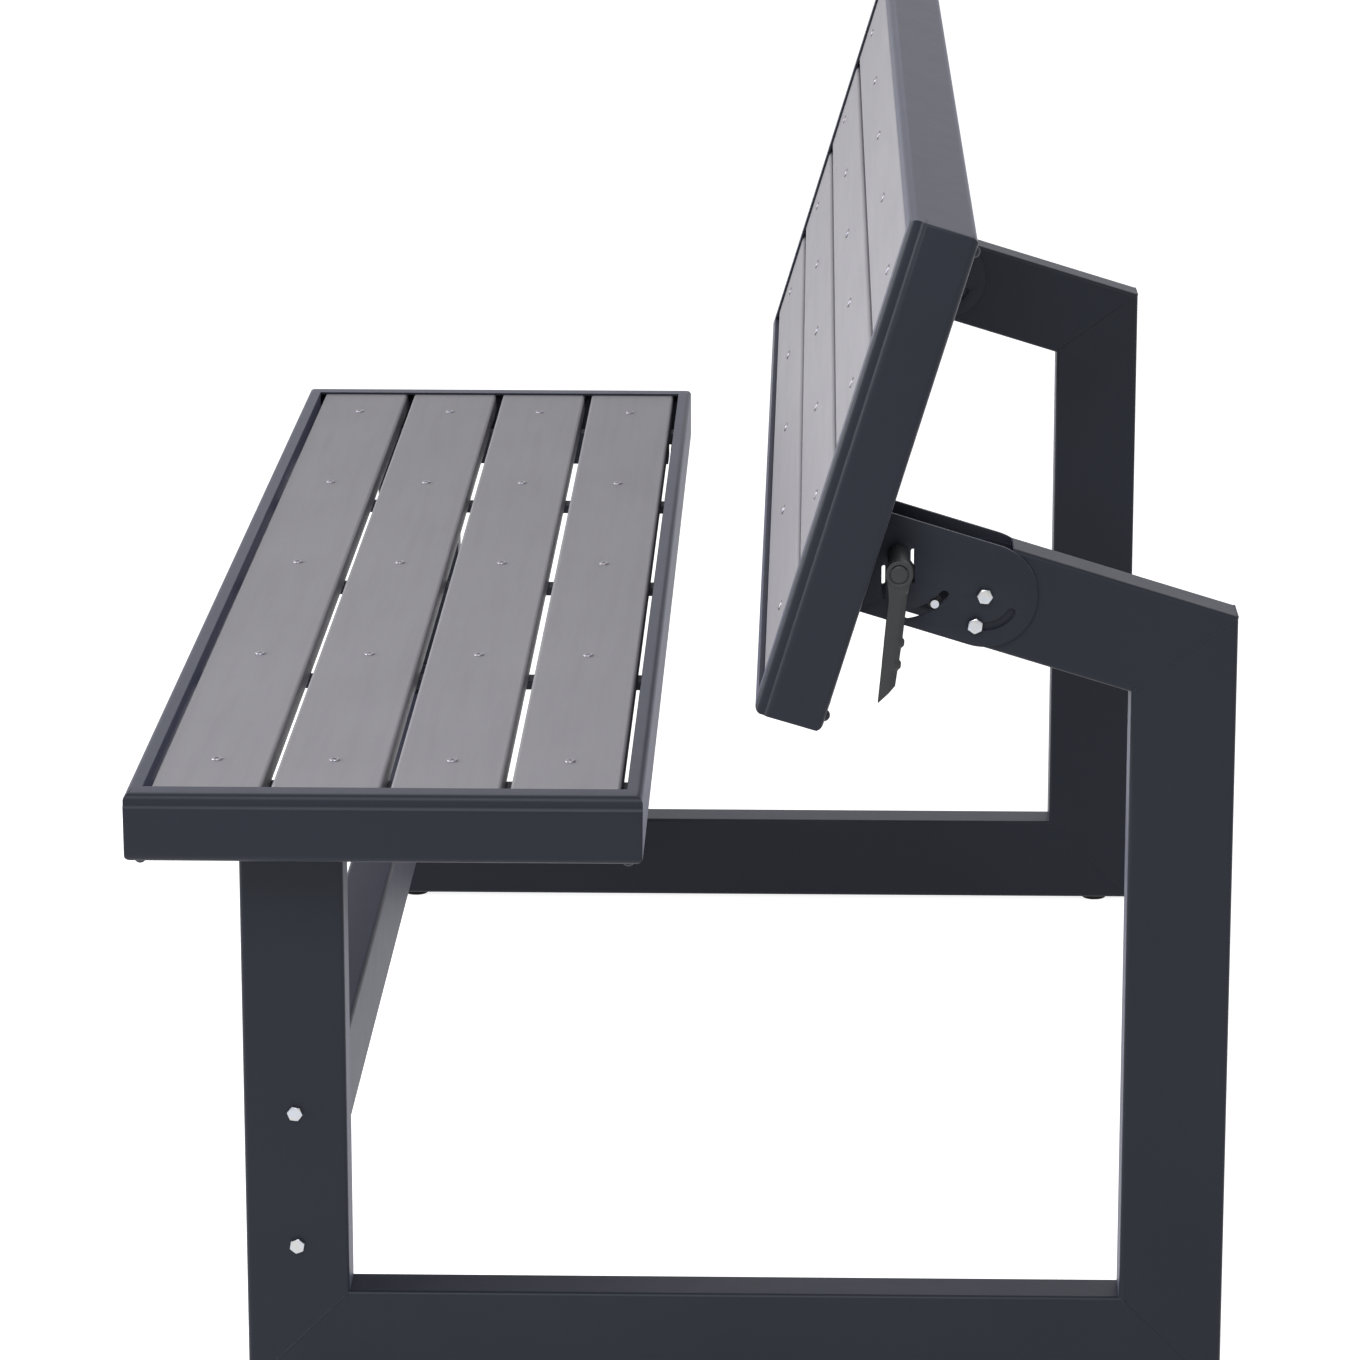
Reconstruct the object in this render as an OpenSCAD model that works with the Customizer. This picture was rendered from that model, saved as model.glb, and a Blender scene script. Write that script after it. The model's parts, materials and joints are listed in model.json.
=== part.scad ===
// Convertible bench: its slatted backrest turns on two arms and becomes a table top.
// +X runs along the bench, -Y is the sitter's front and +Z is up.
// The origin is on the ground, under the middle of the bench at rest.
// Left and right are a sitter's, so the left side frame stands at +X.

/* [Bench] */
// Depth of the bench from the seat's front to the back of the rear uprights
bench_d = 786; // [760:1:860]
// Height of the seat's top above the ground
seat_z = 478; // [440:1:520]
// Distance from the end of the seat in to the middle of each side frame
frame_inset = 90; // [85:1:110]
// Slope of the arms, down to the rear
arm_slope = 17; // [14:1:20]

/* [Panels] */
// Length of the seat and of the backrest
panel_l = 1400; // [1380:10:1800]
// Width of the seat and of the backrest
panel_w = 366; // [340:1:390]
// Depth of a panel from its top to its underside
panel_t = 49.5; // [46:0.5:55]
// Wall of a panel's rails
rail_wall = 2; // [1.5:0.1:2.5]
// Width of the flat rim on top of a rail
rim_w = 9.2; // [8:0.1:14]
// Width of the flat rim on top of an end rail
end_rim_w = 20; // [14:0.5:24]
// Set-back of the rim from the rail's face
step_in = 2.4; // [1.5:0.1:4]
// Depth of the step below the rim
step_h = 6.4; // [6:0.1:12]
// Radius of a rail's rounded edges below the step
rail_r = 6; // [3:0.1:7]
// Radius of the rim's rounded outer edge
rim_r = 3.3; // [3:0.1:6.5]
// Depth of the lip that hangs from the inner edge of a long rail's rim
lip_h = 18; // [5:0.5:19]
// Width of a long rail's bottom flange
low_flange_w = 18; // [12:0.5:24]
// Radius of a panel's corners in plan
corner_r = 2; // [1:0.5:3]
// Number of slats in a panel
slat_count = 4; // [4]
// Thickness of a slat
slat_t = 18; // [16:0.5:20]
// Wall of a hollow slat
slat_wall = 3; // [2.5:0.1:4]
// Number of hollow cells in a slat
slat_cells = 3; // [2:1:4]
// Radius of a slat's edges
slat_r = 2.5; // [1.5:0.1:4]
// Gap between two slats
slat_gap = 6.8; // [5:0.1:9]
// Gap between the outer slats and the rims
slat_side_gap = 5; // [3:0.1:8]
// Number of crossbars under a panel's slats
bar_count = 5; // [3:2:7]
// Distance from the end of a panel to its last crossbar
bar_inset = 100; // [90:1:110]
// Width of a crossbar
bar_w = 22; // [18:1:28]
// Height of a crossbar
bar_h = 7; // [6:0.5:8]
// Wall of a crossbar
bar_wall = 1.5; // [1:0.1:2]

/* [Side frames] */
// Height of the frame tube, in the plane of the frame
tube_h = 75; // [70:1:80]
// Width of the frame tube
tube_w = 38; // [34:1:44]
// Wall of the frame tube
tube_wall = 2; // [1.6:0.1:3]
// Corner radius of the frame tube
tube_r = 3.2; // [3.1:0.1:5]
// Distance from the seat's front edge back to the front legs
seat_overhang = 73; // [60:1:90]
// Height of the feet
foot_h = 5; // [4:0.5:14]
// Radius of the feet
foot_r = 12; // [10:0.5:16]
// Distance from a rail's end to the middle of its foot
foot_inset = 30; // [24:1:60]
// Height of the middle of the stretcher above the ground
stretcher_z = 167; // [160:1:220]
// Distance between the two bolts that hold each end of the stretcher
leg_bolt_gap = 102; // [98:1:120]

/* [Hinge] */
// Place of the pivot behind the middle of the bench
pivot_y = 213; // [205:1:225]
// Height of the pivot above the ground
pivot_z = 609; // [590:1:640]
// Distance from the pivot forward to the back of the backrest
panel_stand = 86; // [82:0.5:95]
// Distance from the arm's centre line down to the backrest's lower edge
panel_drop = 113; // [100:1:120]
// Thickness of the hinge bracket's plates
plate_t = 3; // [2.5:0.1:4]
// Side clearance between the arm and each plate
plate_gap = 0.6; // [0.4:0.1:1]
// Radius of the arm's rounded tongue
tongue_r = 32; // [31:0.5:33]
// Radius of the stop bolt's path around the pivot
stop_path_r = 22.5; // [21:0.5:23]
// Shank radius of the pivot, stop and leg bolts
bolt_r = 3; // [2.5:0.1:3.2]
// Angle that turns the backrest into a table top
fold_angle = 73; // [73]

/* [Latches] */
// Distance from the pivot forward to the lever's shaft
lever_fore = 67.5; // [66:0.5:69]
// Height of the lever's shaft above the arm's centre line
lever_rise = 10.2; // [9:0.1:11]
// Distance from the lever's shaft to the latch pin
pin_reach = 44; // [43.6:0.1:44.2]
// Direction of the latch pin from the shaft at rest, from the arm's centre line
pin_angle = -36.4; // [-36.6:0.1:-36]
// Radius of the latch pin
pin_r = 3; // [2.5:0.1:3.1]
// Turn of a lever towards the pivot, which seats its pin in a notch
latch_in = 11; // [10:0.5:11.5]
// Angle from the pin at rest to the end of its slot on the side away from the pivot
slot_out = 27; // [20:1:28]
// Radius of the lever's shaft
shaft_r = 5; // [4:0.1:6]
// Radius of the lever's barrel and head
lever_r = 9.8; // [9:0.1:10.5]
// Distance from the plate to the front of the lever's head
lever_out = 60; // [50:1:66]
// Length of the lever's blade below the shaft
lever_l = 91; // [80:1:100]
// Direction in which the blade hangs, from level and to the rear
lever_hang = -97; // [-100:1:-90]
// Radius of the latch spring's wire
wire_r = 0.9; // [0.7:0.1:1]
// Number of turns of the latch spring
spring_turns = 5; // [4:1:6]

/* [Hidden] */
$fn = 48;
// Overrun of every cut past the face that it opens
over = 1;
// Clearance of a shank or shaft in its hole, on the radius
hole_gap = 0.05;
// Clearance between two bodies that slide past each other
slide_gap = 0.3;
// Relief of a slot's round ends
end_relief = 0.02;

// Panels
end_x = panel_l / 2;
rail_end_x = end_x - step_in - end_rim_w;
slat_top = rail_wall;
slat_bed_w = panel_w - 2 * (step_in + rim_w + slat_side_gap);
slat_w = (slat_bed_w - (slat_count - 1) * slat_gap) / slat_count;
slat_end_gap = 4;
slat_l = panel_l - 2 * (step_in + rail_wall + slat_end_gap);
bar_top = slat_top + slat_t;
bar_l = panel_w - 2 * rail_wall;
bar_last_x = end_x - bar_inset;
bar_step = 2 * bar_last_x / (bar_count - 1);
flange_w = step_in + rim_w;
bearer_top = bar_top + bar_h;
bearer_h = panel_t - bearer_top;
bearer_wall = 2.5;
bearer_side_gap = 1;
bearer_l = panel_w - 2 * (low_flange_w + bearer_side_gap);
gusset_t = 2;
gusset_l = 55;
gusset_end_w = 16;
gusset_x = end_x - rail_r;
gusset_y = panel_w / 2 - rail_r;
gusset_side_w = low_flange_w - rail_r;

// Slat screws, with domed heads that stand on the slats
screw_r = 2.1;
screw_head_r = 4;
screw_head_h = 1.2;
screw_tail = 3;
screw_l = slat_t + bar_h + screw_tail;
corner_screw_r = 2;
corner_screw_head_r = 4.3;
corner_screw_head_h = 3.2;
corner_screw_l = 8;
corner_screw_inset = 4.5;
side_screw_inset = 36;

// Seat and backrest in the row frame
seat_y = -bench_d / 2 + panel_w / 2;
top_y = -(panel_stand + panel_t);
top_z = panel_w / 2 - panel_drop;

// Side frames
frame_x = end_x - frame_inset;
rail_z = foot_h + tube_h / 2;
leg_y = -bench_d / 2 + seat_overhang + tube_h / 2;
upright_y = bench_d / 2 - tube_h / 2;
seat_bottom_z = seat_z - panel_t;
arm_back = (bench_d / 2 - pivot_y) / cos(arm_slope);
arm_corner_z = pivot_z - (bench_d / 2 - pivot_y) * tan(arm_slope) + tube_h / 2 / cos(arm_slope);
mitre_top = (90 - arm_slope) / 2;
cap_t = 4;
seat_bolt_r = 4;
seat_bolt_gap = 40;
seat_bolt_af = 13;
seat_bolt_head_h = 5.3;
flange_t = 5;
flange_margin = 14;
flange_d = 60;
flange_h = leg_bolt_gap + 2 * flange_margin;
frame_in_x = frame_x - tube_w / 2;
stretcher_l = 2 * (frame_in_x - flange_t);
stretcher_d = tube_w;
foot_ys = [leg_y - tube_h / 2 + foot_inset, bench_d / 2 - foot_inset];
foot_edge_r = 2;
foot_stud_r = 4;
foot_stud_l = 22;
insert_r = 7;
insert_h = 12;

// Hexagon bolts and nuts
bolt_af = 10;
bolt_head_h = 4;
nut_af = 10;
nut_h = 5;
bolt_tail = 2;

// Hinge, in the arm's frame: y to the rear along the arm, z square to it and up
plate_in = tube_w / 2 + plate_gap;
plate_out = plate_in + plate_t;
plate_h = tube_h;
tongue_y = 10;
sleeve_r = 6;
sleeve_l = tube_w - 2 * tube_wall - 2 * hole_gap;
stop_slot_r = bolt_r + slide_gap;
stop_slot_spare = 0.6;
web_bolt_x = 10;
web_bolt_z = 24;

// Latches
lever_y = -lever_fore;
lever_z = lever_rise;
pin_slot_r = pin_r + slide_gap;
pin_slot_spare = 0.8;
pin_proud = 2.5;
pin_l = 2 * (plate_out + pin_proud);
link_t = 4;
link_x = 12.3;
link_hub_r = 8.6;
link_eye_r = 5.5;
link_w = 7;
shaft_clip_r = 8;
shaft_clip_h = 1.5;
shaft_in_lever = 46;
lever_x = plate_out + slide_gap;
lever_front = plate_out + lever_out;
blade_t = 8;
blade_set = 1;
cap_r = 6.2;
cap_gap = 0.4;
cap_depth = 3;
cap_dome = 0.6;
sight_w = 3;
sight_front = [-10, -7.8, -32];
sight_back = [10.5, 4.3, -21];
coil_r = 6.6;
coil_pitch = 2.5;
coil_rings = 8;
wire_sides = 6;
web_leg_l = 13;

// Frames that the pieces are drawn in
module in_seat() {
    translate([0, seat_y, seat_z]) children();
}

module in_arm() {
    translate([0, pivot_y, pivot_z]) rotate([-arm_slope, 0, 0]) children();
}

module in_top() {
    in_arm() translate([0, top_y, top_z]) rotate([90, 0, 0]) children();
}

module on_left() {
    translate([frame_x, 0, 0]) children();
}

module on_right() {
    mirror([1, 0, 0]) translate([frame_x, 0, 0]) children();
}

module on_both() {
    on_left() children();
    on_right() children();
}

// Outlines shared by several pieces
module round_rect(w, h, r) {
    translate([r, 0]) square([w - 2 * r, h]);
    translate([0, r]) square([w, h - 2 * r]);
    for (x = [r, w - r], y = [r, h - r]) translate([x, y]) circle(r = r);
}

module tube_outline(w, h, r, wall) {
    difference() {
        translate([-w / 2, -h / 2]) round_rect(w, h, r);
        translate([-w / 2 + wall, -h / 2 + wall]) round_rect(w - 2 * wall, h - 2 * wall, r - wall);
    }
}

function wedge_points(r, a0, a1) =
    let (mid = (a0 + a1) / 2, reach = r / cos((a1 - a0) / 4))
    [[0, 0], for (a = [a0, mid, a1]) reach * [cos(a), sin(a)]];

// Slot along an arc; its round ends are a little wider than the slot, so their edges cross its sides
module arc_slot(path_r, half_w, a0, a1) {
    intersection() {
        difference() {
            circle(r = path_r + half_w);
            circle(r = path_r - half_w);
        }
        polygon(wedge_points(path_r + 2 * half_w, a0, a1));
    }
    for (a = [a0, a1]) translate(path_r * [cos(a), sin(a)]) circle(r = half_w + end_relief);
}

module upright_slot(x, y0, y1, w) {
    translate([x - w / 2, y0 + w / 2]) square([w, y1 - y0 - w]);
    for (y = [y0 + w / 2, y1 - w / 2]) translate([x, y]) circle(r = w / 2 + end_relief);
}

// Turns a flat outline drawn in y and z into a slab from x0 to x1
module slab(x0, x1) {
    translate([x0, 0, 0]) rotate([90, 0, 90]) linear_extrude(x1 - x0) children();
}

module rod(x0, x1, r) {
    translate([x0, 0, 0]) rotate([0, 90, 0]) cylinder(h = x1 - x0, r = r);
}

// Bolt along x: its head's underside is at x_seat and it points to -x
module hex_bolt(x_seat, length, r, af, head_h) {
    translate([x_seat, 0, 0]) rotate([0, 90, 0]) cylinder(h = head_h, r = af / 2 / cos(30), $fn = 6);
    rod(x_seat - length, x_seat, r);
}

module hex_nut(x0, r, af, height) {
    translate([x0, 0, 0]) rotate([0, 90, 0]) difference() {
        cylinder(h = height, r = af / 2 / cos(30), $fn = 6);
        translate([0, 0, -over]) cylinder(h = height + 2 * over, r = r + hole_gap);
    }
}

// Round-headed screw along z: its head's underside is at z = 0
module dome_screw(r, length, head_r, head_h) {
    dome_r = (head_r * head_r + head_h * head_h) / (2 * head_h);
    translate([0, 0, -length]) cylinder(h = length, r = r);
    rotate_extrude() intersection() {
        translate([0, head_h - dome_r]) circle(r = dome_r);
        square([head_r, head_h]);
    }
}

// Panels: x runs along the panel, y across it and z up from its top
module rail_outline(inset, reach) {
    body_h = panel_t - step_h - 2 * inset;
    r = rail_r - inset;
    intersection() {
        union() {
            translate([inset, -panel_t + inset]) round_rect(2 * reach, body_h, r);
            translate([step_in + inset, -panel_t + inset])
                round_rect(2 * reach, panel_t - 2 * inset, rim_r - inset);
        }
        translate([0, -panel_t]) square([reach + (inset > 0 ? over : 0), panel_t]);
    }
}

module long_rail_outline() {
    difference() {
        rail_outline(0, low_flange_w);
        rail_outline(rail_wall, low_flange_w);
        translate([flange_w, -panel_t + rail_wall]) square([low_flange_w, panel_t]);
    }
    translate([flange_w - rail_wall, -lip_h]) square([rail_wall, lip_h]);
}

module long_rail() {
    difference() {
        translate([0, panel_w / 2, 0]) mirror([0, 1, 0]) slab(-rail_end_x, rail_end_x) long_rail_outline();
        corner_screw_holes();
    }
}

module end_rail_block(inset) {
    reach = step_in + end_rim_w;
    half = panel_w / 2 - inset;
    translate([end_x, 0, 0]) intersection() {
        rotate([90, 0, 180]) linear_extrude(2 * half, center = true) rail_outline(inset, reach);
        slab(-reach - over, over) for (side = [0, 1]) mirror([side, 0])
            translate([-panel_w / 2, 0]) intersection() {
                rail_outline(inset, panel_w / 2);
                translate([0, -panel_t]) square([panel_w / 2, panel_t]);
            }
    }
}

module end_rail() {
    reach = step_in + end_rim_w;
    difference() {
        intersection() {
            end_rail_block(0);
            translate([end_x - 2 * reach, -panel_w / 2, -panel_t - over]) linear_extrude(panel_t + 2 * over)
                round_rect(2 * reach, panel_w, corner_r);
        }
        end_rail_block(rail_wall);
        corner_screw_holes();
    }
}

function slat_mid(i) = -slat_bed_w / 2 + slat_w / 2 + i * (slat_w + slat_gap);
function bar_x(i) = -bar_last_x + i * bar_step;

module slat(i) {
    cell_w = (slat_w - (slat_cells + 1) * slat_wall) / slat_cells;
    translate([0, slat_mid(i), -slat_top]) difference() {
        slab(-slat_l / 2, slat_l / 2) difference() {
            translate([-slat_w / 2, -slat_t]) round_rect(slat_w, slat_t, slat_r);
            for (c = [0:slat_cells - 1])
                translate([-slat_w / 2 + slat_wall + c * (cell_w + slat_wall), -slat_t + slat_wall])
                    square([cell_w, slat_t - 2 * slat_wall]);
        }
        for (b = [0:bar_count - 1]) translate([bar_x(b), 0, -slat_t - over])
            cylinder(h = slat_t + 2 * over, r = screw_r + hole_gap);
    }
}

module slat_screws() {
    for (b = [0:bar_count - 1], i = [0:slat_count - 1]) translate([bar_x(b), slat_mid(i), -slat_top])
        dome_screw(screw_r, screw_l, screw_head_r, screw_head_h);
}

module crossbars() {
    for (b = [0:bar_count - 1]) translate([bar_x(b), 0, -bar_top]) difference() {
        translate([0, 0, -bar_h / 2]) rotate([90, 0, 0]) linear_extrude(bar_l, center = true)
            tube_outline(bar_w, bar_h, bar_wall, bar_wall / 2);
        for (i = [0:slat_count - 1]) translate([0, slat_mid(i), -bar_h - over])
            cylinder(h = bar_h + 2 * over, r = screw_r + hole_gap);
    }
}

// Open channel under the last crossbars, with holes for what is bolted to it
module bearer(bolt_places, r) {
    translate([0, 0, -panel_t]) difference() {
        translate([-tube_w / 2, -bearer_l / 2, 0]) cube([tube_w, bearer_l, bearer_h]);
        translate([-tube_w / 2 + bearer_wall, -bearer_l / 2 - over, bearer_wall])
            cube([tube_w - 2 * bearer_wall, bearer_l + 2 * over, bearer_h]);
        for (p = bolt_places) translate([p.x, p.y, -over])
            cylinder(h = bearer_wall + 2 * over, r = r + hole_gap);
    }
}

module seat_bearers() {
    places = [for (side = [-1, 1]) [0, leg_y - seat_y + side * seat_bolt_gap / 2]];
    on_both() in_seat() bearer(places, seat_bolt_r);
}

module top_bearers() {
    places = [for (x = [-1, 1], z = [-1, 1]) [x * web_bolt_x, z * web_bolt_z - top_z]];
    on_both() in_top() bearer(places, bolt_r);
}

// Flat corner plates on the rails' bottom flanges
module gusset() {
    translate([0, 0, -panel_t + rail_wall]) difference() {
        union() {
            translate([gusset_x - gusset_end_w, gusset_y - gusset_l, 0])
                cube([gusset_end_w, gusset_l, gusset_t]);
            translate([gusset_x - gusset_l, gusset_y - gusset_side_w, 0])
                cube([gusset_l, gusset_side_w, gusset_t]);
        }
        corner_screw_places() translate([0, 0, -over])
            cylinder(h = gusset_t + 2 * over, r = corner_screw_r + hole_gap);
    }
}

// One screw of each corner holds the end rail, and the other one the long rail
module corner_screw_places() {
    translate([gusset_x - corner_screw_inset, gusset_y - corner_screw_inset, 0]) children();
    translate([gusset_x - side_screw_inset, gusset_y - gusset_side_w / 2, 0]) children();
}

module corner_screw_holes() {
    at_corners() corner_screw_places() translate([0, 0, -panel_t - over])
        cylinder(h = rail_wall + 2 * over, r = corner_screw_r + hole_gap);
}

module at_corners() {
    for (mx = [0, 1], my = [0, 1]) mirror([mx, 0, 0]) mirror([0, my, 0]) children();
}

module corner_screws() {
    at_corners() corner_screw_places() translate([0, 0, -panel_t]) mirror([0, 0, 1])
        dome_screw(corner_screw_r, corner_screw_l, corner_screw_head_r, corner_screw_head_h);
}

// Side frames: straight tubes, cut at both ends by the planes that they meet
module upright_tube(length) {
    linear_extrude(length) tube_outline(tube_w, tube_h, tube_r, tube_wall);
}

module frame_tube(y0, y1) {
    translate([0, y0, 0]) rotate([-90, 0, 0]) upright_tube(y1 - y0);
}

// Everything on the far side of a plane through the point at [y, z], whose normal leans by angle
module half_space(y, z, angle) {
    size = 2 * bench_d;
    translate([-size / 2, y, z]) rotate([angle, 0, 0]) translate([0, 0, -size / 2]) cube([size, size, size]);
}

module ground_rail() {
    translate([0, 0, rail_z]) difference() {
        frame_tube(-bench_d / 2, bench_d / 2);
        half_space(leg_y, 0, 135);
        half_space(upright_y, 0, 45);
        for (y = foot_ys)
            translate([0, y, -tube_h / 2 - over])
                cylinder(h = tube_wall + 2 * over, r = foot_stud_r + hole_gap);
    }
}

module front_leg() {
    difference() {
        union() {
            translate([0, leg_y, 0]) upright_tube(seat_bottom_z - cap_t);
            translate([-tube_w / 2, leg_y - tube_h / 2, seat_bottom_z - cap_t])
                cube([tube_w, tube_h, cap_t]);
        }
        half_space(leg_y, rail_z, -45);
        for (z = [-1, 1]) translate([0, leg_y, stretcher_z + z * leg_bolt_gap / 2])
            rod(-tube_w / 2 - over, tube_w / 2 + over, bolt_r + hole_gap);
        seat_bolt_places() translate([0, 0, seat_bottom_z - cap_t - over])
            cylinder(h = cap_t + 2 * over, r = seat_bolt_r + hole_gap);
    }
}

module seat_bolt_places() {
    for (side = [-1, 1]) translate([0, leg_y + side * seat_bolt_gap / 2, 0]) children();
}

module rear_upright() {
    difference() {
        translate([0, upright_y, 0]) upright_tube(pivot_z);
        half_space(upright_y, rail_z, -135);
        half_space(bench_d / 2, arm_corner_z, 90 + mitre_top);
    }
}

module arm() {
    difference() {
        union() {
            in_arm() frame_tube(tongue_y, 2 * arm_back);
            in_arm() for (x = [-tube_w / 2, tube_w / 2 - tube_wall]) slab(x, x + tube_wall) tongue_outline();
        }
        half_space(bench_d / 2, arm_corner_z, mitre_top - 90);
    }
}

module tongue_outline() {
    difference() {
        union() {
            circle(r = tongue_r);
            translate([0, -tongue_r]) square([tongue_y, 2 * tongue_r]);
        }
        circle(r = bolt_r + hole_gap);
        translate([0, -stop_path_r]) circle(r = bolt_r + hole_gap);
        for (turn = [0, -fold_angle]) rotate(turn) translate([lever_y, lever_z])
            arc_slot(pin_reach, pin_slot_r, pin_angle - latch_in, pin_angle + latch_in + pin_slot_spare);
    }
}

module stretcher() {
    translate([0, leg_y, stretcher_z]) slab(-stretcher_l / 2, stretcher_l / 2)
        rotate(90) tube_outline(tube_h, stretcher_d, tube_r, tube_wall);
}

module stretcher_flanges() {
    on_both() translate([-tube_w / 2 - flange_t, leg_y, stretcher_z]) difference() {
        slab(0, flange_t) translate([-flange_d / 2, -flange_h / 2])
            round_rect(flange_d, flange_h, flange_margin / 2);
        for (z = [-1, 1]) translate([0, 0, z * leg_bolt_gap / 2])
            rod(-over, flange_t + over, bolt_r + hole_gap);
    }
}

module leg_bolt_places() {
    on_both() for (z = [-1, 1]) translate([0, leg_y, stretcher_z + z * leg_bolt_gap / 2]) children();
}

module leg_bolts() {
    leg_bolt_places()
        hex_bolt(tube_w / 2, tube_w + flange_t + nut_h + bolt_tail, bolt_r, bolt_af, bolt_head_h);
}

module leg_nuts() {
    leg_bolt_places() hex_nut(-tube_w / 2 - flange_t - nut_h, bolt_r, nut_af, nut_h);
}

module foot_places() {
    on_both() for (y = foot_ys) translate([0, y, 0]) children();
}

module feet() {
    foot_places() {
        rotate_extrude() union() {
            square([foot_r - foot_edge_r, foot_h]);
            translate([0, foot_edge_r]) square([foot_r, foot_h - foot_edge_r]);
            translate([foot_r - foot_edge_r, foot_edge_r]) circle(r = foot_edge_r);
        }
        translate([0, 0, foot_h]) cylinder(h = foot_stud_l, r = foot_stud_r);
    }
}

module foot_inserts() {
    foot_places() translate([0, 0, foot_h + tube_wall]) difference() {
        cylinder(h = insert_h, r = insert_r);
        translate([0, 0, -over]) cylinder(h = insert_h + 2 * over, r = foot_stud_r + hole_gap);
    }
}

// Bolts down through the bearer's web into the plate on top of each front leg
module seat_bolts() {
    on_both() seat_bolt_places() translate([0, 0, seat_bottom_z + bearer_wall]) rotate([0, -90, 0])
        hex_bolt(0, bearer_wall + cap_t + nut_h + bolt_tail, seat_bolt_r, seat_bolt_af, seat_bolt_head_h);
}

module seat_nuts() {
    on_both() seat_bolt_places() translate([0, 0, seat_bottom_z - cap_t]) rotate([0, 90, 0])
        hex_nut(0, seat_bolt_r, seat_bolt_af, nut_h);
}

// Hinge bracket: two plates joined by a web on the panel's back
module bracket_outline() {
    difference() {
        union() {
            translate([-panel_stand, -plate_h / 2]) square([panel_stand, plate_h]);
            circle(r = plate_h / 2);
        }
        circle(r = bolt_r + hole_gap);
        arc_slot(stop_path_r, stop_slot_r, -90 - stop_slot_spare, -90 + fold_angle + stop_slot_spare);
        translate([lever_y, lever_z]) {
            circle(r = shaft_r + hole_gap);
            arc_slot(pin_reach, pin_slot_r, pin_angle - slot_out, pin_angle + latch_in + pin_slot_spare);
            rotate(arm_slope) for (slot = [sight_front, sight_back])
                upright_slot(slot.x, slot.z, slot.y, sight_w);
        }
    }
}

module hinge_bracket() {
    in_arm() difference() {
        slab(-plate_out, plate_out) bracket_outline();
        translate([-plate_in, plate_t - panel_stand, -plate_h])
            cube([2 * plate_in, 2 * panel_stand, 2 * plate_h]);
        web_bolt_places() translate([0, 0, -over]) cylinder(h = plate_t + 2 * over, r = bolt_r + hole_gap);
    }
}

// Places of the web's bolts, with z along them and 0 on the panel's back
module web_bolt_places() {
    for (x = [-1, 1], z = [-1, 1]) translate([x * web_bolt_x, -panel_stand, z * web_bolt_z])
        rotate([-90, 0, 0]) children();
}

module bracket_bolts() {
    on_both() in_arm() web_bolt_places() rotate([0, -90, 0]) {
        hex_bolt(plate_t, plate_t + bearer_wall + nut_h + bolt_tail, bolt_r, bolt_af, bolt_head_h);
        hex_nut(-bearer_wall - nut_h, bolt_r + hole_gap, nut_af, nut_h);
    }
}

module cross_bolt() {
    seat = plate_out + slide_gap;
    hex_bolt(seat, 2 * seat + nut_h + bolt_tail, bolt_r, bolt_af, bolt_head_h);
}

module sleeve() {
    difference() {
        rod(-sleeve_l / 2, sleeve_l / 2, sleeve_r);
        rod(-sleeve_l / 2 - over, sleeve_l / 2 + over, bolt_r + hole_gap);
    }
}

module at_stop() {
    translate([0, 0, -stop_path_r]) children();
}

module hinge_nut() {
    hex_nut(-plate_out - slide_gap - nut_h, bolt_r, nut_af, nut_h);
}

module hinge_nuts() {
    on_both() in_arm() {
        hinge_nut();
        at_stop() hinge_nut();
    }
}

// Latches: drawn in the arm's frame about the lever's shaft
module in_latch() {
    in_arm() translate([0, lever_y, lever_z]) children();
}

module blade_outline() {
    v_back = 5;
    v_front = 7.4;
    v_tip = 5.8;
    grip_rise = 0.9;
    slant = 13.5;
    root_share = 0.22;
    grip_shares = [0.53, 0.7];
    grip_l = 4;
    polygon([
        [0, -lever_r + over / 4],
        [root_share * lever_l, -v_back - grip_rise / 2],
        [lever_l, -v_back],
        [lever_l - slant, v_tip],
        [grip_shares[1] * lever_l + grip_l, v_tip + grip_rise / 2],
        [grip_shares[1] * lever_l + grip_l / 2, v_tip + 2 * grip_rise],
        [grip_shares[1] * lever_l - grip_l / 2, v_tip + 2 * grip_rise],
        [grip_shares[1] * lever_l - grip_l, v_tip + grip_rise],
        [grip_shares[0] * lever_l + grip_l, v_tip + grip_rise],
        [grip_shares[0] * lever_l + grip_l / 2, v_front + grip_rise],
        [grip_shares[0] * lever_l - grip_l / 2, v_front + grip_rise],
        [grip_shares[0] * lever_l - grip_l, v_front],
        [root_share * lever_l, v_front],
        [0, lever_r - over / 4]
    ]);
}

module latch_lever() {
    in_latch() difference() {
        union() {
            rod(lever_x, lever_front, lever_r);
            slab(lever_front - blade_set - blade_t, lever_front - blade_set)
                rotate(lever_hang + arm_slope) blade_outline();
        }
        rod(lever_x - over, lever_x + shaft_in_lever, shaft_r + hole_gap);
        rod(lever_front - cap_depth, lever_front + over, cap_r + cap_gap);
    }
}

module lever_cap() {
    in_latch() translate([lever_front - cap_depth, 0, 0]) rotate([0, 90, 0]) {
        cylinder(h = cap_depth - cap_dome, r = cap_r);
        translate([0, 0, cap_depth - cap_dome]) dome_screw(cap_r / 2, cap_dome, cap_r, cap_dome);
    }
}

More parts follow.
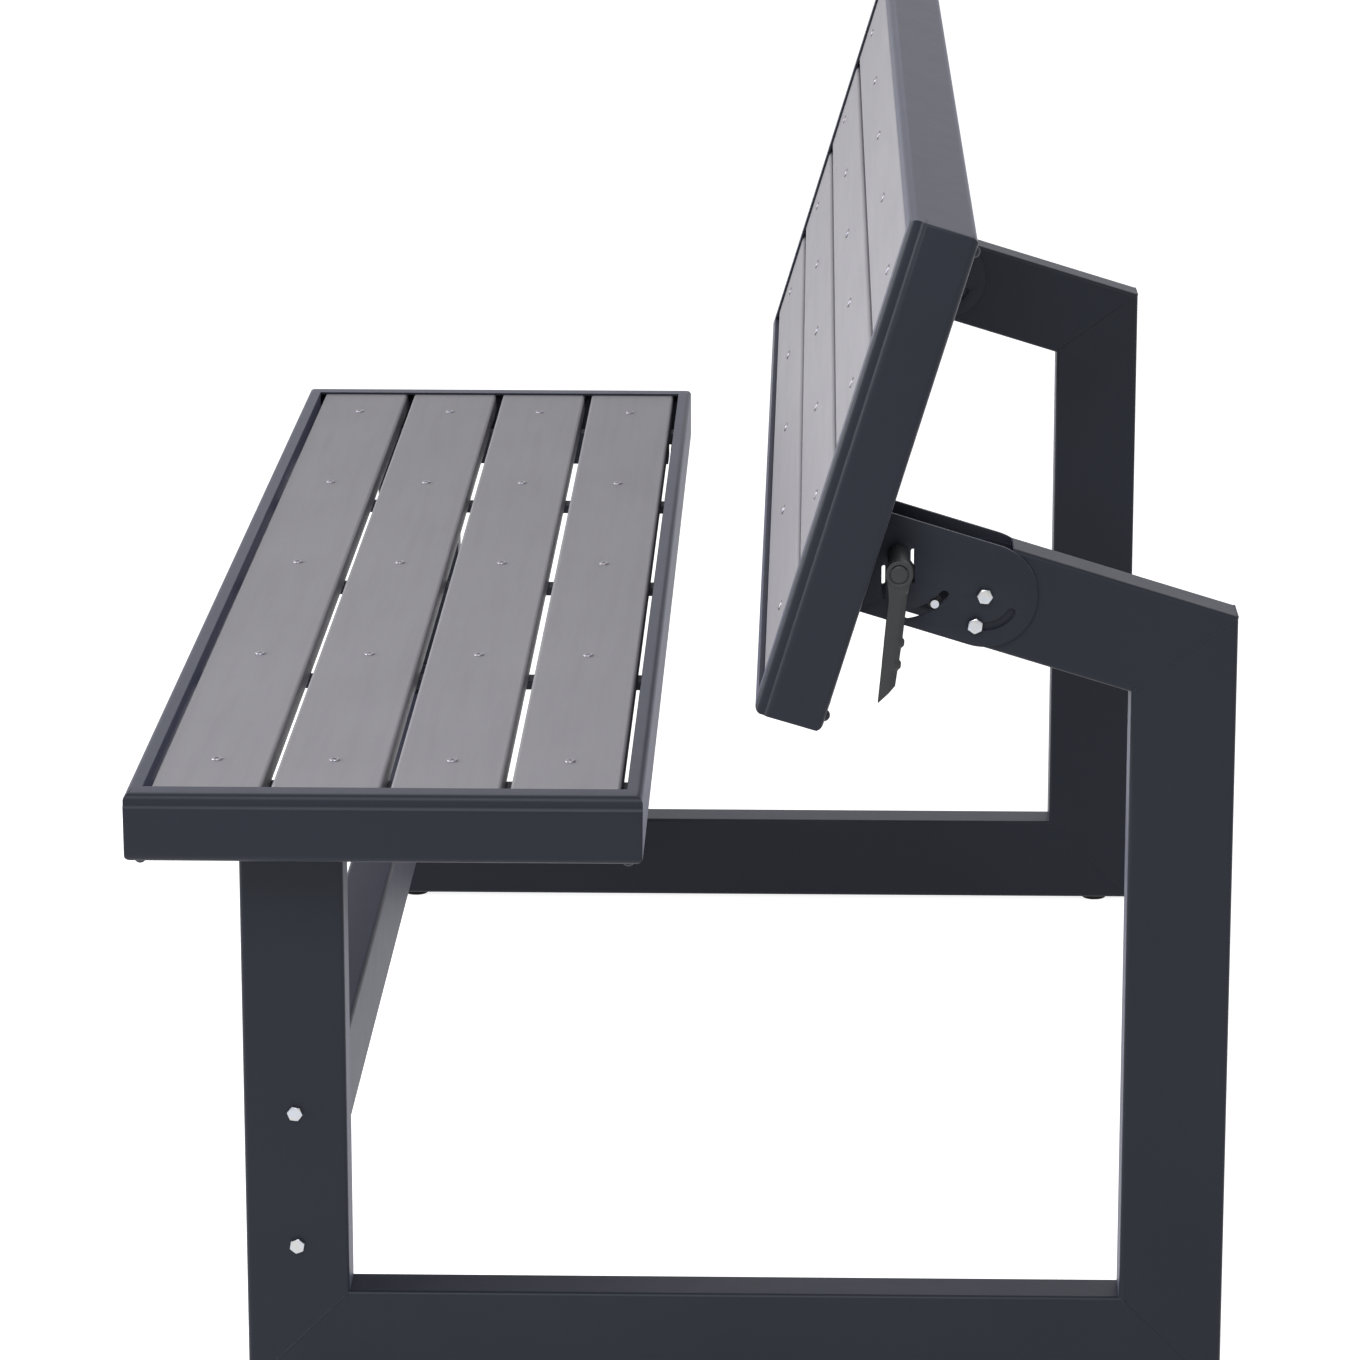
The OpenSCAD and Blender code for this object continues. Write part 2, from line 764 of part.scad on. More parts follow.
module latch_shaft() {
    in_latch() {
        rod(-plate_out - slide_gap - shaft_clip_h, lever_x + shaft_in_lever, shaft_r);
        rod(-plate_out - slide_gap - shaft_clip_h, -plate_out - slide_gap, shaft_clip_r);
        rotate([pin_angle, 0, 0]) difference() {
            slab(link_x, link_x + link_t) union() {
                circle(r = link_hub_r);
                translate([pin_reach, 0]) circle(r = link_eye_r);
                translate([0, -link_w / 2]) square([pin_reach, link_w]);
            }
            translate([0, pin_reach, 0]) rod(link_x - over, link_x + link_t + over, pin_r + hole_gap);
        }
    }
}

module latch_pin() {
    in_latch() rotate([pin_angle, 0, 0]) translate([0, pin_reach, 0]) rod(-pin_l / 2, pin_l / 2, pin_r);
}

// Torsion spring round the shaft, one leg on the latch pin and the other towards the web
module latch_spring() {
    in_latch() wire_tube(spring_path, wire_r, wire_sides);
}

spring_steps = spring_turns * coil_rings;
pin_leg_l = pin_reach - pin_r;
leg_lean = asin((coil_r - pin_r - wire_r - slide_gap) / pin_reach);
pin_leg_angle = pin_angle - leg_lean;
coil_start = pin_leg_angle - 90;
coil_len = spring_turns * coil_pitch;

function coil_point(turn) =
    let (a = coil_start - 360 * turn)
    [coil_len / 2 - coil_pitch * turn, coil_r * cos(a), coil_r * sin(a)];

function leg_point(turn, reach, way) =
    let (a = coil_start - 360 * turn, p = coil_point(turn))
    p + [0, way * reach * -sin(a), way * reach * cos(a)];

spring_path = [
    leg_point(0, pin_leg_l, 1),
    leg_point(0, coil_r, 1),
    for (i = [0:spring_steps]) coil_point(i / coil_rings),
    leg_point(spring_turns, web_leg_l, -1)
];

function unit(v) = v / norm(v);
function path_dir(path, i) =
    unit(path[min(i + 1, len(path) - 1)] - path[max(i - 1, 0)]);

module wire_tube(path, r, sides) {
    up = [1, 0, 0];
    points = [
        for (i = [0:len(path) - 1])
            let (d = path_dir(path, i), side = unit(cross(d, up)), top = cross(side, d))
            for (k = [0:sides - 1]) path[i] + r * (cos(360 * k / sides) * side + sin(360 * k / sides) * top)
    ];
    last = len(path) - 1;
    faces = [
        for (i = [0:last - 1], k = [0:sides - 1])
            let (a = i * sides + k, b = i * sides + (k + 1) % sides)
            each [[a, b, b + sides], [a, b + sides, a + sides]],
        for (k = [1:sides - 2]) [0, k + 1, k],
        for (k = [1:sides - 2]) [last * sides, last * sides + k, last * sides + k + 1]
    ];
    polyhedron(points = points, faces = faces);
}

// Least gap of the coil to itself, between points that are at least half a turn apart
coil_gap = min([
    for (i = [0:spring_steps - 1], j = [i + coil_rings / 2 : 1 : spring_steps])
        norm(coil_point(i / coil_rings) - coil_point(j / coil_rings)) - 2 * wire_r
]);
echo(least_gap_of_spring_to_itself = coil_gap);  // left_latch_spring

frame_colour = [0.21, 0.23, 0.26];
slat_colour = [0.56, 0.56, 0.58];
zinc_colour = [0.8, 0.82, 0.84];
black_colour = [0.1, 0.1, 0.11];

color(frame_colour) on_left() front_leg();  // left_front_leg
color(frame_colour) on_right() front_leg();  // right_front_leg
color(frame_colour) on_left() ground_rail();  // left_ground_rail
color(frame_colour) on_right() ground_rail();  // right_ground_rail
color(frame_colour) on_left() rear_upright();  // left_rear_upright
color(frame_colour) on_right() rear_upright();  // right_rear_upright
color(frame_colour) on_left() arm();  // left_arm
color(frame_colour) on_right() arm();  // right_arm
color(frame_colour) stretcher();
color(frame_colour) stretcher_flanges();
color(zinc_colour) leg_bolts();
color(zinc_colour) leg_nuts();
color(black_colour) feet();
color(black_colour) foot_inserts();
color(frame_colour) in_seat() mirror([0, 1, 0]) long_rail();  // seat_front_rail
color(frame_colour) in_seat() long_rail();  // seat_rear_rail
color(frame_colour) in_seat() end_rail();  // seat_left_end
color(frame_colour) in_seat() mirror([1, 0, 0]) end_rail();  // seat_right_end
color(frame_colour) in_seat() crossbars();  // seat_crossbars
color(frame_colour) seat_bearers();
color(zinc_colour) seat_bolts();
color(zinc_colour) seat_nuts();
color(slat_colour) in_seat() slat(0);  // seat_slat_1
color(slat_colour) in_seat() slat(1);  // seat_slat_2
color(slat_colour) in_seat() slat(2);  // seat_slat_3
color(slat_colour) in_seat() slat(3);  // seat_slat_4
color(zinc_colour) in_seat() slat_screws();  // seat_slat_screws
color(frame_colour) in_seat() at_corners() gusset();  // seat_gussets
color(frame_colour) in_seat() corner_screws();  // seat_corner_screws
color(zinc_colour) on_both() in_arm() cross_bolt();  // pivot_bolts
color(zinc_colour) on_both() in_arm() sleeve();  // pivot_sleeves
color(zinc_colour) on_both() in_arm() at_stop() cross_bolt();  // stop_bolts
color(zinc_colour) on_both() in_arm() at_stop() sleeve();  // stop_sleeves
color(zinc_colour) hinge_nuts();
color(frame_colour) in_top() mirror([0, 1, 0]) long_rail();  // top_lower_rail
color(frame_colour) in_top() long_rail();  // top_upper_rail
color(frame_colour) in_top() end_rail();  // top_left_end
color(frame_colour) in_top() mirror([1, 0, 0]) end_rail();  // top_right_end
color(frame_colour) in_top() crossbars();  // top_crossbars
color(frame_colour) top_bearers();
color(slat_colour) in_top() slat(0);  // top_slat_1
color(slat_colour) in_top() slat(1);  // top_slat_2
color(slat_colour) in_top() slat(2);  // top_slat_3
color(slat_colour) in_top() slat(3);  // top_slat_4
color(zinc_colour) in_top() slat_screws();  // top_slat_screws
color(frame_colour) in_top() at_corners() gusset();  // top_gussets
color(frame_colour) in_top() corner_screws();  // top_corner_screws
color(frame_colour) on_left() hinge_bracket();  // left_hinge_bracket
color(frame_colour) on_right() hinge_bracket();  // right_hinge_bracket
color(zinc_colour) bracket_bolts();
color(black_colour) on_left() latch_lever();  // left_latch_lever
color(black_colour) on_left() lever_cap();  // left_lever_cap
color(zinc_colour) on_left() latch_shaft();  // left_latch_shaft
color(zinc_colour) on_left() latch_pin();  // left_latch_pin
color(zinc_colour) on_left() latch_spring();  // left_latch_spring
color(black_colour) on_right() latch_lever();  // right_latch_lever
color(black_colour) on_right() lever_cap();  // right_lever_cap
color(zinc_colour) on_right() latch_shaft();  // right_latch_shaft
color(zinc_colour) on_right() latch_pin();  // right_latch_pin
color(zinc_colour) on_right() latch_spring();  // right_latch_spring
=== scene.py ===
"""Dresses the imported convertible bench: finishes, welds, levers, fasteners, springs and the studio.

Run as a script. Lengths in the properties are in millimetres unless a unit says otherwise.
"""

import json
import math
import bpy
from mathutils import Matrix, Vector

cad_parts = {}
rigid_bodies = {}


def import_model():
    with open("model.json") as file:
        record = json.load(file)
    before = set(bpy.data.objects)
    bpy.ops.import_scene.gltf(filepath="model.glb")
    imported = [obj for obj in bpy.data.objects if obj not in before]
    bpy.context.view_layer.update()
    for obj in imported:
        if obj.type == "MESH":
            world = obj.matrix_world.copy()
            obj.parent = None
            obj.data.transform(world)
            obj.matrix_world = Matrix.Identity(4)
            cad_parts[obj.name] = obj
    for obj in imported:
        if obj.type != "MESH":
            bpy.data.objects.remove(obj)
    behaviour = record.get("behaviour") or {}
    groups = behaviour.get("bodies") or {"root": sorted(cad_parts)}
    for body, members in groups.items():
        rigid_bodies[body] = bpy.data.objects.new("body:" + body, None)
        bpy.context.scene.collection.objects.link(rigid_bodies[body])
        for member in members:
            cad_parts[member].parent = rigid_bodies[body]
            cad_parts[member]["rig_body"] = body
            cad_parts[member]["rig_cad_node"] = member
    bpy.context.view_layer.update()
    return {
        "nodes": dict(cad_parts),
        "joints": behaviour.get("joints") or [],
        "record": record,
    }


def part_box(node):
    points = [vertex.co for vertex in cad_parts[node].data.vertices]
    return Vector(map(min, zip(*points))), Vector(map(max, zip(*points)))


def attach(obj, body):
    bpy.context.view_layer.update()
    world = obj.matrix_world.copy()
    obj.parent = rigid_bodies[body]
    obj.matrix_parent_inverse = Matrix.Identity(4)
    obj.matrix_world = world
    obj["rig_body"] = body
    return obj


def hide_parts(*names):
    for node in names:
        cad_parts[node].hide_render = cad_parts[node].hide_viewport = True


bl_info = {
    "name": "Convertible bench finishes",
    "version": (1, 0, 0),
    "blender": (4, 5, 0),
    "location": "3D View > Sidebar > Bench",
    "description": "Finishes, welds, levers and fasteners of a bench that turns into a table",
    "category": "Object",
}

import bmesh
import bpy
from mathutils import Matrix, Vector

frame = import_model()
NODES = frame["nodes"]
JOINTS = {joint["name"]: joint for joint in frame["joints"]}
PIVOT = Vector(JOINTS["top_fold"]["pos_m"])
LATCH = Vector(JOINTS["left_latch_turn"]["pos_m"])
MM = 0.001
ARM_SLOPE = math.radians(17)
SIDES = {"left": 1, "right": -1}
TUBE_W, TUBE_H = 0.038, 0.075  # the frame tube's sides, in metres
PLATE_FACE = 22.9 * MM         # from the middle of the arm to a hinge plate's outer face
STOP_DROP = 22.5 * MM          # from the pivot bolt down to the stop bolt
PANEL_RISE = 11 * MM           # from a slat's middle to the top of its panel's rim
SLAT_RISE = 9 * MM             # from a slat's middle to its top
SCREW_ROWS, ROW_PITCH = 5, 0.3


# Helpers for objects
def deselect():
    if bpy.context.object and bpy.context.object.mode != "OBJECT":
        bpy.ops.object.mode_set(mode="OBJECT")
    bpy.ops.object.select_all(action="DESELECT")


def make_active(*objects):
    deselect()
    for obj in objects:
        obj.select_set(True)
    bpy.context.view_layer.objects.active = objects[0]


def apply_place(obj):
    make_active(obj)
    bpy.ops.object.transform_apply(location=True, rotation=True, scale=True)
    return obj


def place(obj, matrix):
    """Moves a piece that stands at the origin, and keeps its object there."""
    obj.matrix_world = matrix
    return apply_place(obj)


def apply_modifier(obj, kind, **settings):
    make_active(obj)
    modifier = obj.modifiers.new(kind.title(), kind)
    for key, value in settings.items():
        setattr(modifier, key, value)
    bpy.ops.object.modifier_apply(modifier=modifier.name)
    return obj


def join(objects):
    objects = list(objects)
    make_active(*objects)
    if len(objects) > 1:
        bpy.ops.object.join()
    return bpy.context.object


def copies(obj, matrices):
    """Copies a piece to every place, each copy with its own mesh, and joins them."""
    made = []
    for matrix in matrices:
        make_active(obj)
        bpy.ops.object.duplicate(linked=False)
        made.append(place(bpy.context.object, matrix))
    bpy.data.objects.remove(obj)
    return join(made)


def cylinder(radius, low, high, vertices=48, at=(0, 0)):
    deselect()
    bpy.ops.mesh.primitive_cylinder_add(
        vertices=vertices, radius=radius, depth=high - low, location=(at[0], at[1], (low + high) / 2))
    return apply_place(bpy.context.object)


def block(low, high):
    deselect()
    bpy.ops.mesh.primitive_cube_add(size=1, location=[(a + b) / 2 for a, b in zip(low, high)],
                                    scale=[b - a for a, b in zip(low, high)])
    return apply_place(bpy.context.object)


def pick(obj, mode, test):
    """Goes into edit mode with only the vertices, edges or faces selected that pass the test."""
    make_active(obj)
    bpy.ops.object.mode_set(mode="EDIT")
    bpy.ops.mesh.select_mode(type=mode)
    bpy.ops.mesh.select_all(action="DESELECT")
    mesh = bmesh.from_edit_mesh(obj.data)
    for item in {"VERT": mesh.verts, "EDGE": mesh.edges, "FACE": mesh.faces}[mode]:
        item.select_set(bool(test(item)))
    mesh.select_flush_mode()
    bmesh.update_edit_mesh(obj.data)


def extrude(by):
    """Extrudes what is selected in edit mode and moves it by a vector."""
    bpy.ops.mesh.extrude_region_move(TRANSFORM_OT_translate={"value": by})


def object_mode():
    bpy.ops.object.mode_set(mode="OBJECT")


def faces_out(obj):
    make_active(obj)
    bpy.ops.object.mode_set(mode="EDIT")
    bpy.ops.mesh.select_all(action="SELECT")
    bpy.ops.mesh.normals_make_consistent(inside=False)
    object_mode()
    return obj


def cut(obj, tool, operation="DIFFERENCE"):
    make_active(obj)
    apply_modifier(obj, "BOOLEAN", object=tool, operation=operation, solver="EXACT")
    bpy.data.objects.remove(tool)
    return obj


def round_edges(obj, width, segments=2, angle=30):
    return apply_modifier(obj, "BEVEL", width=width, segments=segments, limit_method="ANGLE",
                          angle_limit=math.radians(angle), harden_normals=False)


def merged_copy(name):
    """A copy of a CAD node with its vertices merged and its flat faces joined, for a piece that replaces it."""
    make_active(NODES[name])
    bpy.ops.object.duplicate(linked=False)
    obj = bpy.context.object
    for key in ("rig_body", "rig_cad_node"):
        if key in obj:
            del obj[key]
    matrix = obj.matrix_world.copy()
    obj.parent = None
    place(obj, matrix)
    bpy.ops.mesh.customdata_custom_splitnormals_clear()
    bpy.ops.object.mode_set(mode="EDIT")
    bpy.ops.mesh.select_all(action="SELECT")
    bpy.ops.mesh.remove_doubles(threshold=1e-6)
    bpy.ops.mesh.dissolve_limited(angle_limit=math.radians(1))
    object_mode()
    return obj


def finish_piece(obj, name, body, material, replaced=(), smooth=35):
    obj.name = obj.data.name = name
    obj.data.materials.clear()
    obj.data.materials.append(material)
    make_active(obj)
    bpy.ops.object.shade_smooth_by_angle(angle=math.radians(smooth))
    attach(obj, body)
    if replaced:
        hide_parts(*replaced)
    return obj


# Frames of the bench
def arm_frame(side=1, x=0.0, y=0.0, z=0.0):
    """The arm's frame: x outwards on that side, y to the rear along the arm, z square to it."""
    turn = Matrix.Rotation(-ARM_SLOPE, 4, "X")
    at = Matrix.Translation((side * abs(LATCH.x), PIVOT.y, PIVOT.z))
    return at @ turn @ Matrix.Translation((side * x, y, z))


def along_x(side):
    """Turns a piece's z axis to point outwards on that side."""
    return Matrix.Rotation(side * math.pi / 2, 4, "Y")


def about_z(degrees):
    return Matrix.Rotation(math.radians(degrees), 4, "Z")


def panel_frame(panel, boxes, rise):
    """A panel's frame over the middle of some slats: x along the panel, y across it and z square to it."""
    y, z = (sum(low[i] + high[i] for low, high in boxes) / (2 * len(boxes)) for i in (1, 2))
    tilt = math.pi / 2 - ARM_SLOPE if panel == "top" else 0
    return Matrix.Translation((0, y, z)) @ Matrix.Rotation(tilt, 4, "X") @ Matrix.Translation((0, 0, rise))


def slat_boxes(panel):
    return [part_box(f"{panel}_slat_{i}") for i in range(1, 5)]


# Helpers for materials
def new_tree(name):
    material = bpy.data.materials.get(name) or bpy.data.materials.new(name)
    material.use_nodes = True
    tree = material.node_tree
    tree.nodes.clear()
    output = tree.nodes.new("ShaderNodeOutputMaterial")
    return material, tree, output


def new_finish(name, metallic=0.0, **sockets):
    material, tree, output = new_tree(name)
    shader = tree.nodes.new("ShaderNodeBsdfPrincipled")
    shader.inputs["Metallic"].default_value = metallic
    for key, value in sockets.items():
        shader.inputs[key.replace("_", " ")].default_value = value
    tree.links.new(shader.outputs[0], output.inputs["Surface"])
    return material, tree, shader


def noise(tree, scale, detail=3.0, stretch=(1, 1, 1), roughness=0.5, offset=(0, 0, 0)):
    coords = tree.nodes.new("ShaderNodeTexCoord")
    mapping = tree.nodes.new("ShaderNodeMapping")
    mapping.inputs["Scale"].default_value = stretch
    mapping.inputs["Location"].default_value = offset
    texture = tree.nodes.new("ShaderNodeTexNoise")
    texture.inputs["Scale"].default_value = scale
    texture.inputs["Detail"].default_value = detail
    texture.inputs["Roughness"].default_value = roughness
    tree.links.new(coords.outputs["Object"], mapping.inputs["Vector"])
    tree.links.new(mapping.outputs["Vector"], texture.inputs["Vector"])
    return texture.outputs["Fac"]


def remap(tree, value, low, high, new_low, new_high):
    node = tree.nodes.new("ShaderNodeMapRange")
    for key, number in (("From Min", low), ("From Max", high), ("To Min", new_low), ("To Max", new_high)):
        node.inputs[key].default_value = number
    tree.links.new(value, node.inputs["Value"])
    return node.outputs["Result"]


def math_node(tree, operation, a, b):
    node = tree.nodes.new("ShaderNodeMath")
    node.operation = operation
    for socket, value in zip(node.inputs, (a, b)):
        if isinstance(value, (int, float)):
            socket.default_value = value
        else:
            tree.links.new(value, socket)
    return node.outputs[0]


def blend_colours(tree, factor, first, second):
    node = tree.nodes.new("ShaderNodeMix")
    node.data_type = "RGBA"
    tree.links.new(factor, node.inputs["Factor"])
    for socket, colour in ((node.inputs["A"], first), (node.inputs["B"], second)):
        if hasattr(colour, "links"):
            tree.links.new(colour, socket)
        else:
            socket.default_value = (*colour, 1)
    return node.outputs["Result"]


def shade(colour, factor):
    return tuple(min(1.0, c * factor) for c in colour)


def bump(tree, shader, height, strength, distance):
    node = tree.nodes.new("ShaderNodeBump")
    node.inputs["Strength"].default_value = strength
    node.inputs["Distance"].default_value = distance
    tree.links.new(height, node.inputs["Height"])
    tree.links.new(node.outputs["Normal"], shader.inputs["Normal"])


def coat_finish(name, colour, roughness):
    """Powder coat: a fine orange-peel surface with faint drifts of tone."""
    material, tree, shader = new_finish(name, Specular_IOR_Level=0.24, Specular_Tint=(0.88, 0.94, 1.0, 1),
                                        Sheen_Weight=0.18, Sheen_Roughness=0.35, Sheen_Tint=(0.62, 0.65, 1.0, 1))
    drift = remap(tree, noise(tree, 5.0, 2.0), 0.35, 0.65, 0.0, 1.0)
    speck = remap(tree, noise(tree, 2600.0, 2.0), 0.3, 0.7, 0.0, 1.0)
    base = blend_colours(tree, drift, shade(colour, 0.9), shade(colour, 1.12))
    colour_out = blend_colours(tree, remap(tree, speck, 0, 1, 0.0, 0.35), base, shade(colour, 1.5))
    tree.links.new(colour_out, shader.inputs["Base Color"])
    rough = remap(tree, noise(tree, 40.0, 3.0), 0.3, 0.7, roughness - 0.01, roughness + 0.01)
    tree.links.new(rough, shader.inputs["Roughness"])
    bump(tree, shader, noise(tree, 1300.0, 2.0, roughness=0.4), 0.25, 0.00006)
    return material


def slat_finish(name, colour, roughness, grain):
    """Grey composite plank: streaks along x, soft mottling and a fine brushed grain."""
    material, tree, shader = new_finish(name, Specular_IOR_Level=0.3)
    streak = noise(tree, 14.0, 4.0, (0.35, 6.0, 6.0), 0.55)
    fine = noise(tree, 60.0, 6.0, (0.5, 14.0, 14.0), 0.65)
    cloud = noise(tree, 9.0, 3.0, (0.8, 1.0, 1.0))
    swirl = noise(tree, 26.0, 3.0, (0.5, 1.6, 1.6), 0.6, (0.3, 0.1, 0.7))
    base = blend_colours(tree, remap(tree, cloud, 0.35, 0.65, 0.0, 1.0), shade(colour, 0.97), shade(colour, 1.03))
    warm = tuple(c * f for c, f in zip(colour, (1.0, 1.0, 0.965)))
    base = blend_colours(tree, remap(tree, swirl, 0.45, 0.75, 0.0, 0.8), base, warm)
    base = blend_colours(tree, remap(tree, streak, 0.5, 0.8, 0.0, grain), base, shade(colour, 0.8))
    base = blend_colours(tree, remap(tree, fine, 0.5, 0.8, 0.0, grain), base, shade(colour, 1.22))
    tree.links.new(base, shader.inputs["Base Color"])
    rough = remap(tree, streak, 0.3, 0.7, roughness - 0.02, roughness + 0.02)
    tree.links.new(rough, shader.inputs["Roughness"])
    height = math_node(tree, "ADD", math_node(tree, "MULTIPLY", streak, 1.2), fine)
    bump(tree, shader, height, 0.12, 0.0002)
    return material


def zinc_finish(name, colour, roughness):
    """Bright zinc plate with faint cloudy tints."""
    material, tree, shader = new_finish(name, metallic=1.0)
    cloud = remap(tree, noise(tree, 220.0, 3.0), 0.35, 0.65, 0.0, 1.0)
    tint = tuple(c * f for c, f in zip(colour, (0.98, 1.0, 1.06)))
    warm = tuple(c * f for c, f in zip(colour, (1.04, 1.0, 0.92)))
    tree.links.new(blend_colours(tree, cloud, tint, warm), shader.inputs["Base Color"])
    tree.links.new(remap(tree, noise(tree, 900.0, 2.0), 0.3, 0.7, roughness - 0.06, roughness + 0.08),
                   shader.inputs["Roughness"])
    bump(tree, shader, noise(tree, 1800.0, 2.0), 0.12, 0.00004)
    return material


def plastic_finish(name, colour, roughness):
    """Moulded black plastic with a fine matte grain."""
    material, tree, shader = new_finish(name, Specular_IOR_Level=0.4)
    grain = noise(tree, 3200.0, 2.0)
    base = blend_colours(tree, remap(tree, grain, 0.35, 0.65, 0, 1), shade(colour, 0.85), shade(colour, 1.2))
    tree.links.new(base, shader.inputs["Base Color"])
    tree.links.new(remap(tree, noise(tree, 90.0), 0.3, 0.7, roughness - 0.05, roughness + 0.05),
                   shader.inputs["Roughness"])
    bump(tree, shader, grain, 0.3, 0.00005)
    return material


def rubber_finish(name, colour):
    """Black rubber with pale dust in its pores."""
    material, tree, shader = new_finish(name, Roughness=0.8, Specular_IOR_Level=0.3)
    dust = remap(tree, noise(tree, 160.0, 4.0), 0.45, 0.75, 0.0, 0.6)
    tree.links.new(blend_colours(tree, dust, colour, shade(colour, 2.4)), shader.inputs["Base Color"])
    bump(tree, shader, noise(tree, 1500.0, 3.0), 0.3, 0.0001)
    return material


def material_of(slot):
    """The finish for a material slot of the record; the imported material of that name stays as it is."""
    return bpy.data.materials[slot + "_finish"]


# Settings
def number(name, description, default, **extra):
    return bpy.props.FloatProperty(name=name, description=description, default=default, **extra)


def colour(name, description, default):
    return bpy.props.FloatVectorProperty(name=name, description=description, default=default,
                                         size=3, min=0, max=1, subtype="COLOR")


class BENCH_PG_finishes(bpy.types.PropertyGroup):
    coat: colour("Powder coat", "Colour of the frames, rails and hinge brackets", (0.0125, 0.014, 0.0215))
    coat_roughness: number("Coat roughness", "Roughness of the powder coat", 0.46, subtype="FACTOR")
    slat: colour("Slats", "Colour of the composite slats", (0.272, 0.264, 0.292))
    slat_roughness: number("Slat roughness", "Roughness of the slats", 0.5, subtype="FACTOR")
    grain: number("Grain", "Strength of the slats' streaks", 0.25, subtype="FACTOR")
    zinc: colour("Zinc", "Colour of the plated bolts", (0.42, 0.435, 0.46))
    zinc_roughness: number("Zinc roughness", "Roughness of the plated bolts", 0.3, subtype="FACTOR")
    screw: colour("Slat screws", "Colour of the slat screws' heads", (0.3, 0.29, 0.33))
    lever: colour("Levers", "Colour of the moulded levers", (0.02, 0.021, 0.023))
    lever_roughness: number("Lever roughness", "Roughness of the levers", 0.48, subtype="FACTOR")
    foot: colour("Feet", "Colour of the rubber feet", (0.014, 0.014, 0.015))
    # painted shade: the latch shafts and their links are made near black to stand for the shade in the hinge
    # brackets' slots
    shaft: colour("Latch shafts", "Colour of the latch shafts and their links", (0.03, 0.03, 0.033))
    wire: colour("Spring wire", "Colour of the latch springs", (0.5, 0.5, 0.5))


class BENCH_PG_rails(bpy.types.PropertyGroup):
    rim: number("Rim radius", "Radius of the rim's outer edge, in mm", 5.2)


class BENCH_PG_welds(bpy.types.PropertyGroup):
    radius: number("Bead radius", "Radius of a weld bead, in mm", 0.9)
    proud: number("Bead height", "How far a bead stands out of the tubes, in mm", 0.4)
    waver: number("Waver", "Unevenness of a bead, in mm", 0.35)
    blob: number("Blob", "Radius of the blob at a bead's inner end, in mm", 1.7)


class BENCH_PG_levers(bpy.types.PropertyGroup):
    reach: number("Reach", "From the middle of the arm to the lever's front, in mm", 82.6)
    start: number("Start", "From the middle of the arm to the lever's back, in mm", 22.9)
    radius: number("Head radius", "Radius of the head, in mm", 9.8)
    barrel: number("Barrel radius", "Radius of the barrel behind the head, in mm", 7.6)
    cap: number("Cap radius", "Radius of the inset cap, in mm", 6.2)
    length: number("Blade length", "From the shaft to the blade's end, in mm", 94.0)
    hang: number("Hang", "Direction of the blade, down and a little forward", math.radians(-95.5),
                 subtype="ANGLE")
    thickness: number("Blade thickness", "Thickness of the blade, in mm", 8.0)
    chamfer: number("Chamfer", "Width of the slanted rear side of the blade, in mm", 3.6)


class BENCH_PG_fasteners(bpy.types.PropertyGroup):
    hex_af: number("Hexagon", "Width across flats of the hexagon heads, in mm", 10.0)
    head_h: number("Head height", "Height of the hexagon heads, in mm", 4.0)
    shank: number("Shank radius", "Shank radius of the bolts, in mm", 3.0)
    screw_r: number("Slat screw head", "Radius of the slat screws' heads, in mm", 4.0)
    screw_h: number("Slat screw height", "Height of the slat screws' heads, in mm", 1.2)


class BENCH_PG_stage(bpy.types.PropertyGroup):
    eye: bpy.props.FloatVectorProperty(name="Camera", description="Place of the camera", size=3,
                                       default=(4.23532, 0.09289, 1.51109), subtype="XYZ", unit="LENGTH")
    yaw: number("Yaw", "Turn of the camera from straight along -X", math.radians(-0.961), subtype="ANGLE")
    pitch: number("Pitch", "Tilt of the camera below level", math.radians(13.375), subtype="ANGLE")
    roll: number("Roll", "Roll of the camera", math.radians(0.104), subtype="ANGLE")
    lens: number("Lens", "Focal length in mm on a 36 mm sensor", 138.944)
    shift_x: number("Shift across", "Shift of the lens, as a share of the picture's width", -0.03647)
    shift_y: number("Shift up", "Upward shift of the lens, as a share of the picture's width", -0.1089)
    front_power: number("Front light", "Power of the light at the sitter's front, in W", 84.0)
    near_power: number("Near light", "Power of the light above the camera, in W", 60.0)
    sky: number("Sky", "Strength of the world's light on the bench", 0.25)


def settings():
    return bpy.context.scene.bench


class BENCH_PG_all(bpy.types.PropertyGroup):
    finishes: bpy.props.PointerProperty(type=BENCH_PG_finishes, name="Finishes", description="Colours")
    rails: bpy.props.PointerProperty(type=BENCH_PG_rails, name="Rails", description="Panel rails")
    welds: bpy.props.PointerProperty(type=BENCH_PG_welds, name="Welds", description="Weld beads")
    levers: bpy.props.PointerProperty(type=BENCH_PG_levers, name="Levers", description="Latch levers")
    fasteners: bpy.props.PointerProperty(type=BENCH_PG_fasteners, name="Fasteners", description="Bolts")
    stage: bpy.props.PointerProperty(type=BENCH_PG_stage, name="Stage", description="Camera and light")


